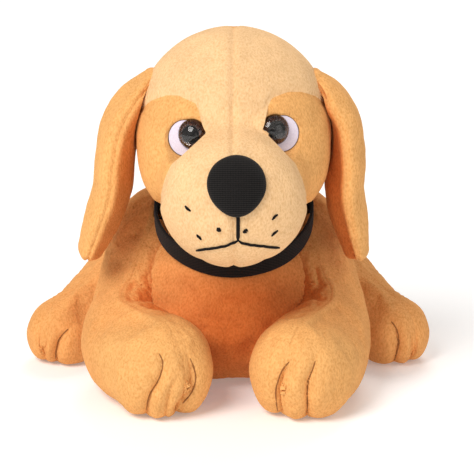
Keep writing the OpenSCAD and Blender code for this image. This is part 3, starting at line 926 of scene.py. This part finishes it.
def ear_form(side):
    """A hanging ear: two layers sewn round the rim, thinly stuffed, and flat where it lies on the head."""
    p, tris = limb(ear(side), (0, 1, 0), 110, 84)
    angle = p[:, 3]
    rim = abs(np.sin(angle))
    sewn = -1.6 * np.exp(-((rim / 0.16) ** 2))
    pleat = 0.9 * np.cos(angle * 5 + 1.2 * side) * np.exp(-((p[:, 4] - 1.2) / 1.4) ** 2) * rim
    folds = 0.8 * lumps(p * [1, 1, 0.6, 1, 1], 15, 4 + side) + 0.35 * lumps(p, 7, 6 + side)
    cupped = -CUP[side] * np.exp(-(((angle - math.pi - 0.75) / 0.4) ** 2)) * smooth(p[:, 4], 0.8, 2.0)
    p = pushed(p, tris, sewn + pleat + cupped + folds * smooth(rim, 0.1, 0.5))
    if side < 0:
        p, tris = mirrored((p, tris))
    ray = p[:, :3] - HEAD_C
    far = np.linalg.norm(ray, axis=1)
    ray = unit(ray)
    surface = soft_reach(HEAD_BLOBS, HEAD_C, ray) + 1.4 - 4.0 * smooth(-p[:, 4], -0.75, 0.1)
    p[:, :3] = HEAD_C + ray * np.maximum(far, surface)[:, None]
    return p, tris


def ears():
    for side, word in SIDES:
        form = ear_form(side)
        seam = np.sin(form[0][:, 3])
        for name, half in (("outer", clip(form, seam)), ("inner", clip(form, -seam))):
            nodes = ["ear_%s_%s" % (name, word)] + (["ear_filling_" + word] if name == "inner" else [])
            # Painted shade on the inner layer, which faces the head
            tone = EAR_SHADE[side] * smooth(-np.sin(half[0][:, 3]), -0.05, 0.5)
            root = PIVOT["ear_" + word] * MM
            bend = ("head", "ear_" + word, root + [0, 0, 0.01], root + [0.01 * side, 0, -0.042])
            soft_piece("cover_ear_%s_%s" % (name, word), at_head(half), bend, nodes, tone=tone)


# ---- Legs ----

# Grooves between the toes: points across from the middle of the paw and up from the floor, and a strength.
# Across is outwards on the hind paws.
FRONT_GROOVES = {
    1: [
        ([(-15, -4), (-17.7, 10), (-18.6, 23), (-17, 31), (-14, 39), (-8.5, 46), (-2, 53)], 1.0),
        ([(3, -4), (3.3, 10), (2.8, 23), (3.6, 33), (6, 40), (8, 47), (8, 58)], 1.0),
    ],
    -1: [
        ([(-11, -4), (-8.7, 13), (-6.5, 22), (-1, 31), (1.8, 39), (2.4, 45), (-1, 51), (-8, 56)], 0.9),
        ([(3, -4), (5, 12), (7, 22), (10, 30), (14, 36), (20, 40)], 0.5),
        ([(10, -4), (14, 10), (19, 16), (23, 23), (24.4, 31), (23, 38), (20, 46), (16, 54)], 1.1),
    ],
}
HIND_GROOVES = {
    1: [
        ([(0, -4), (1, 8), (3, 20), (1, 30), (-4, 36), (-11, 38)], 1.0),
        ([(12, -4), (14, 10), (14, 20), (11, 30), (5, 36)], 0.5),
    ],
    -1: [
        ([(5, -4), (5, 10), (2.5, 21), (-1.5, 27), (-6, 31), (-11, 33)], 1.0),
        ([(14, -4), (14, 12), (10, 24), (4, 31)], 0.45),
    ],
}


def paw(points, tris, centre, lines, depth, width):
    """Toes: the fabric is drawn in along threads on the front of the paw and swells between them."""
    facing = smooth(-normals(points, tris)[:, 1], -0.2, 0.4)
    spot = np.stack([points[:, 0] - centre[0], points[:, 2]], 1)
    amount = np.zeros(len(points))
    for line, strength in lines:
        distance, share = to_line(spot, line)
        near = 1 - np.minimum(distance / width, 1)
        valley = 1 - np.sqrt(1 - near**2 * 0.94)
        amount = np.minimum(amount, -depth * strength * valley * facing * (1 - smooth(share, 0.5, 1.0)))
    drawn = points.copy()
    drawn[:, :3] += unit(points[:, :3] - centre) * amount[:, None]
    return drawn


# A leg's half width, which makes a distance of the angle from its seam
SEAM_FAR = 28
# Each kind of leg: direction of its width; rows, columns and cap rows; seeds of its folds; width of the
# hollow where it meets the body; depth and width of the grooves between its toes
LEGS = {
    "front": ((1, 0, 0), (130, 168, 46), (8, 10), 24, (9.0, 11.5)),
    "hind": ((0.8, 0.6, 0), (90, 132, 34), (12, 14), 18, (8.0, 10.0)),
}
# The middle and half sizes of the hollow between the front legs, where shade is painted
CAVE_C = np.array([10, -70, 55.0])
CAVE_HALF = (92, 72, 74)


def body_gap(points):
    """Roughly how far points are outside the body."""
    ray = points[:, :3] - BODY_C
    far = np.linalg.norm(ray, axis=1)
    return 0.9 * (far - soft_reach(BODY_BLOBS, BODY_C, unit(ray)))


def fillet(gap, width):
    """How far a surface swells towards another one that near, so that the two meet in a soft hollow."""
    return width / 4 * np.clip(1 - abs(gap) / width, 0, 1) ** 2


# Room for the loose collar: its radius, and how far it reaches below the neck's middle
COLLAR_ROOM = 57.9
COLLAR_ROOM_LOW = 10.7


def neck_clear(points):
    """Above zero on what is clear of the neck and the collar."""
    far, out, height = neck_coords(points)
    return np.minimum(far - NECK_R - 1.3, np.maximum(out - COLLAR_ROOM, -COLLAR_ROOM_LOW - height))


def leg_pieces(kind, word, surface, start, end):
    """The two half covers of a leg. The two places near its root where it would bend from the body are handed
    on, but no bend is made.
    """
    leg = "%s_%s" % (kind, word)
    body = ("body", leg, (PIVOT[leg] + start) * MM, (PIVOT[leg] + end) * MM)
    for name, sign in (("outer", 1), ("inner", -1)):
        half = clip(surface, sign * np.cos(surface[0][:, 3]))
        nodes = ["%s_%s_%s" % (kind, name, word)]
        if name == "inner":
            nodes.append("%s_filling_%s" % (kind, word))
        # Painted shade: a little over the whole leg behind the front of the paw, and more on faces that look
        # inwards in the hollow between the front legs
        tone = 0.24 + np.clip(1.7 * cave(half[0]) * inward(half), 0, 0.76)
        tone *= smooth(half[0][:, 1], -118, -72)
        soft_piece("cover_%s_%s_%s" % (kind, name, word), half, body, nodes, tone=tone)


def inward(surface):
    """1 on the faces that look towards the middle plane, 0 on those that look away."""
    points, tris = surface
    return smooth(-np.sign(points[:, 0]) * normals(points, tris)[:, 0], -0.35, 0.55)


def cave(points):
    """How deep a place lies in the hollow between the front legs, under the head, where shade is painted on
    the fabric.
    """
    q = (points[:, :3] - CAVE_C) / CAVE_HALF
    return np.clip(1.25 - np.linalg.norm(q, axis=1), 0, 1)


def leg_form(kind, side, stations, grooves):
    """A stuffed leg: sewn along two seams, swollen, flat underneath, and drawn into toes at its end."""
    ref, mesh, seeds, hollow, draw = LEGS[kind]
    p, tris = limb(stations, ref, *mesh)
    seam_gap = np.abs(np.cos(p[:, 3])) * SEAM_FAR
    hold = np.maximum(np.exp(-((seam_gap / 4) ** 2)), smooth(-body_gap(p), -14, 4))
    p, tris = puffed((p, tris), hold, PUFF)
    folds = 0.9 * lumps(p, 30, seeds[0] + side) + 0.35 * lumps(p, 12, seeds[1])
    p = pushed(p, tris, groove(seam_gap, 0.6, 1.8) + folds)
    if side < 0:
        p, tris = mirrored((p, tris))
    p = on_floor(pushed(p, tris, fillet(body_gap(p), hollow)))
    centre = np.array(stations[-1][:3]) * [side, 1, 1]
    p = paw(p, tris, centre, grooves, *draw)
    p[:, 2] = np.maximum(p[:, 2], FLOOR_GAP)
    return p, tris


def front_legs():
    legs = {}
    for side, word in SIDES:
        p, tris = leg_form("front", side, front_leg(side), FRONT_GROOVES[side])
        p = tucked(p, tris, neck_clear(p), 2.0, 4.0)
        legs[word] = (p, tris)
        form = clip((p, tris), neck_clear(p))
        leg_pieces("front_leg", word, form, [0, 0, 5], [15 * side, -26, -42])
    return legs


def hind_legs():
    legs = {}
    for side, word in SIDES:
        grooves = [([(side * x, z) for x, z in line], strength) for line, strength in HIND_GROOVES[side]]
        legs[word] = leg_form("hind", side, HIND_LEG, grooves)
        leg_pieces("hind_leg", word, legs[word], [0, 0, 0], [28 * side, -26, -15])
    return legs


def toe_threads(legs, kind, grooves, stations_of):
    """Threads at the bottom of the grooves between the toes."""
    for side, word in SIDES:
        points, tris = legs[word]
        tree = BVHTree.FromPolygons(points[:, :3].tolist(), tris.tolist())
        end = np.array(stations_of(side)[-1][:3]) * [side, 1, 1]
        mirror = side if kind == "hind" else 1
        threads = []
        for line, strength in grooves[side]:
            if strength < 0.8:
                continue
            path = along([(mirror * x, z) for x, z in line], np.linspace(0.7, len(line) - 2.2, 24))
            hits = [tree.ray_cast(Vector((end[0] + x, end[1] - 90, z)), Vector((0, 1, 0))) for x, z in path]
            place = np.array([hit[0] for hit in hits])
            for _ in range(3):
                place[1:-1] = (place[:-2] + 2 * place[1:-1] + place[2:]) / 4
            threads.append(tube(place, 0.5))
        name, body = "%s_toe_threads_%s" % (kind, word), "%s_leg_%s" % (kind, word)
        nodes = ["%s_toe_stitches_%s" % (kind, word)]
        piece(name, joined(threads), golden_yarn, body, nodes)


# ---- Tail ----


def tail():
    p, tris = limb(TAIL, (1, 0, 0), 50, 64)
    p = pushed(p, tris, groove(np.abs(np.sin(p[:, 3])) * 12, 0.8, 1.8) + 0.5 * lumps(p, 16, 20))
    p = on_floor(p)
    for name, sign in (("upper", 1), ("lower", -1)):
        half = clip((p, tris), sign * np.sin(p[:, 3]))
        nodes = ["tail_" + name] + (["tail_filling"] if name == "lower" else [])
        root = PIVOT["tail"] * MM
        bend = ("body", "tail", root - [0, 0.004, 0], root + [0.003, 0.014, -0.012])
        soft_piece("cover_tail_" + name, half, bend, nodes)
    return p, tris


# ---- Body ----

# The seam of the belly panel, across and up, and the outline of the chest panel above it
BELLY_LINE = [
    (-120, 20), (-66, 28), (-55, 73), (-38, 65), (-20, 58), (0, 55),
    (20, 58), (38, 65), (55, 73), (66, 28), (120, 20),
]
CHEST_OUTLINE = [(-44, 160), (-46, 101)] + BELLY_LINE[2:9] + [(46, 101), (44, 160)]
BIB_Y = -10
BELLY_Z = 22
COLLAR_SEAT = 0.175


def belly_field(points):
    under = in_outline(points[:, [0, 2]], [(-120, -50)] + BELLY_LINE + [(120, -50)])
    return np.maximum(BELLY_Z - points[:, 2], np.minimum(BIB_Y - points[:, 1], under))


def chest_field(points):
    return np.minimum(BIB_Y - points[:, 1], in_outline(points[:, [0, 2]], CHEST_OUTLINE))


def outside_of(surface, points):
    """Signed distance of points from a closed surface, above zero outside."""
    form, tris = surface
    tree = BVHTree.FromPolygons(form[:, :3].tolist(), tris.tolist())
    away = np.empty(len(points))
    for k, p in enumerate(points[:, :3]):
        near, normal, _, distance = tree.find_nearest(Vector(p))
        away[k] = math.copysign(distance, (Vector(p) - near).dot(normal))
    return away


def body_clear(points, limbs):
    """Above zero on the part of the body that is clear of the limbs and the neck."""
    values = neck_coords(points)[0] - NECK_R - 1.2
    for surface in limbs:
        values = np.minimum(values, outside_of(surface, points) - 0.25)
    return values


def under_collar(points):
    """The body's fabric is pressed down under the collar and runs in to the neck."""
    _, out, height = neck_coords(points)
    over = np.maximum(height + COLLAR_SEAT * out + 0.3, 0)
    points[:, :3] -= over[:, None] * NECK_AXIS
    return points


def body_cover(limbs):
    rays, tris = ball_rays(66)
    p = BODY_C + rays * soft_reach(BODY_BLOBS, BODY_C, rays)[:, None]
    back_gap = abs(p[:, 0]) + 60 * (chest_field(p) > -2)
    seam_gap = np.min([abs(belly_field(p)), abs(chest_field(p)), back_gap], axis=0)
    folds = lumps(p, 34, 21) + 0.4 * lumps(p, 13, 22)
    p = on_floor(pushed(p, tris, groove(seam_gap, 1.0, 2.2) + folds))
    p, tris = puffed((p, tris), np.exp(-((seam_gap / 5) ** 2)), PUFF, 6.0)
    nearest = np.min([outside_of(surface, p) for surface in limbs], axis=0)
    hollow = fillet(np.maximum(nearest, 0), 24)
    p = under_collar(on_floor(pushed(p, tris, hollow * smooth(nearest, -3, 1))))
    whole = clip((p, tris), body_clear(p, limbs))
    belly = clip(whole, belly_field(whole[0]))
    rest = clip(whole, -belly_field(whole[0]))
    chest = clip(rest, chest_field(rest[0]))
    back = clip(rest, -chest_field(rest[0]))
    # Painted shade: deepest in the hollow under the head and between the front legs, a little over the whole
    # belly and chest, and on the back only near that hollow
    tone = 0.25 + 0.75 * cave(belly[0])
    soft_piece("cover_belly", belly, "body", ["belly_panel", "body_filling"], tone=tone)
    soft_piece("cover_chest", chest, "body", ["chest_panel"], tone=0.1 + 0.9 * cave(chest[0]))
    for side, word in SIDES:
        half = clip(back, side * back[0][:, 0])
        soft_piece("cover_back_" + word, half, "body", ["back_panel_" + word], tone=cave(half[0]))


# ---- Neck and collar ----

# The collar band: its ends along the neck's axis, its radii, and the points round and across it
COLLAR_LOW, COLLAR_HIGH = -9.3, 8.3
COLLAR_INNER, COLLAR_OUTER = 54.15, 56.4
COLLAR_COLS, COLLAR_ROWS = 240, 24


# The ball of the neck is black: painted shadow between the head and the collar
def neck():
    rays, tris = ball_rays(30)
    p = NECK + rays * (NECK_R - 0.6)
    p = pushed(p, tris, 0.4 * lumps(p, 14, 24))
    piece("neck_ball", (p, tris), neck_shadow_fabric, "neck", ["neck_cover", "neck_filling"])


def collar():
    """A woven band with rounded edges, which ripples a little round the neck."""
    side, up = np.array([1.0, 0, 0]), np.cross(NECK_AXIS, [1.0, 0, 0])
    middle, thick = (COLLAR_INNER + COLLAR_OUTER) / 2, COLLAR_OUTER - COLLAR_INNER
    centre, wide = (COLLAR_LOW + COLLAR_HIGH) / 2, COLLAR_HIGH - COLLAR_LOW
    profile = []
    for k in range(COLLAR_ROWS):
        a = 2 * math.pi * k / COLLAR_ROWS
        x = np.sign(math.cos(a)) * abs(math.cos(a)) ** 0.5
        y = np.sign(math.sin(a)) * abs(math.sin(a)) ** 0.35
        profile.append((middle + x * thick / 2, centre + y * wide / 2))
    ring = []
    for j in range(COLLAR_COLS):
        a = 2 * math.pi * j / COLLAR_COLS
        ripple = 0.12 * math.sin(7 * a + 1)
        for r, h in profile:
            ring.append(NECK + (r + ripple) * (side * math.cos(a) + up * math.sin(a)) + NECK_AXIS * h)
    i, j = grid(range(COLLAR_COLS), range(COLLAR_ROWS))
    here, ahead, beside = i * COLLAR_ROWS, (i + 1) % COLLAR_COLS * COLLAR_ROWS, (j + 1) % COLLAR_ROWS
    tris = split(here + j, ahead + j, ahead + beside, here + beside)
    band = piece("collar_webbing", (np.array(ring), tris), webbing, "collar", ["collar_band"])


# ---- Eyes: the moulded pieces keep their CAD shapes ----


def finish_nodes():
    looks = {
        "eye_felt": white_felt,
        "eye": iris,
        "eye_pupil": pupil,
        "eye_lens": clear,
        "eye_washer": white_plastic,
    }
    for kind, material in looks.items():
        for word in ("left", "right"):
            node = frame["nodes"]["%s_%s" % (kind, word)]
            node.data.materials.clear()
            node.data.materials.append(material)


# ---- Camera, lights and floor ----

AIM = Vector((0.0063, -0.0506, 0.109))
CAMERA_RISE = math.radians(15)
CAMERA_FAR = 1.6
CAMERA_LENS = 173.6
CAMERA_SENSOR = 36
WORLD_LIGHT = 0.34
FLOOR_GLOW = 0.18
# Lamps: name, place, width and power
LAMPS = [
    ("key", (-1.35, -1.75, 2.1), 1.8, 74),
    ("fill", (1.5, -1.3, 0.7), 1.6, 7.0),
    ("back", (0.4, 2.2, 2.4), 2.0, 40),
]
FLOOR_HALF = 8.0
FLOOR_Z = -0.0002


def aimed(name, data, place):
    """A camera or lamp at a place, turned towards the dog."""
    obj = added(name, data)
    obj.location = place
    obj.rotation_mode = "QUATERNION"
    obj.rotation_quaternion = (AIM - obj.location).to_track_quat("-Z", "Y")
    return obj


def camera():
    view = bpy.data.cameras.new("camera")
    view.sensor_width = CAMERA_SENSOR
    view.lens = CAMERA_LENS
    back = Vector((0, -math.cos(CAMERA_RISE), math.sin(CAMERA_RISE)))
    bpy.context.scene.camera = aimed("camera", view, AIM + back * CAMERA_FAR)


def lights():
    for name, place, size, power in LAMPS:
        lamp = bpy.data.lights.new(name, "AREA")
        lamp.shape = "DISK"
        lamp.size = size
        lamp.energy = power
        lamp.color = (1, 0.985, 0.96)
        aimed(name, lamp, place)
    world = bpy.data.worlds.new("studio")
    world.use_nodes = True
    sky = world.node_tree.nodes["Background"]
    sky.inputs["Color"].default_value = (1, 0.99, 0.98, 1)
    sky.inputs["Strength"].default_value = WORLD_LIGHT
    bpy.context.scene.world = world
    bpy.context.scene.view_settings.view_transform = "Standard"


def floor():
    corners = [(x * FLOOR_HALF, y * FLOOR_HALF, FLOOR_Z) for x, y in ((-1, -1), (1, -1), (1, 1), (-1, 1))]
    mesh = bpy.data.meshes.new("floor")
    mesh.from_pydata(corners, [], [(0, 1, 2, 3)])
    mat, tree, main, place = shader("floor_paper", 0.9, 0.1)
    paper = ramp(tree, noise_of(tree, place, 3, 3), (0.3, 0.90), (0.7, 0.93))
    tree.links.new(paper, main.inputs["Base Color"])
    main.inputs["Emission Color"].default_value = (1, 1, 1, 1)
    main.inputs["Emission Strength"].default_value = FLOOR_GLOW
    mesh.materials.append(mat)
    added("floor", mesh)


head_surface = head_panels()
nose()
embroidery(head_surface)
ears()
front = front_legs()
hind = hind_legs()
toe_threads(front, "front", FRONT_GROOVES, front_leg)
toe_threads(hind, "hind", HIND_GROOVES, lambda side: HIND_LEG)
tail_form = tail()
body_cover([*front.values(), *hind.values(), tail_form])
neck()
collar()
finish_nodes()
camera()
lights()
floor()
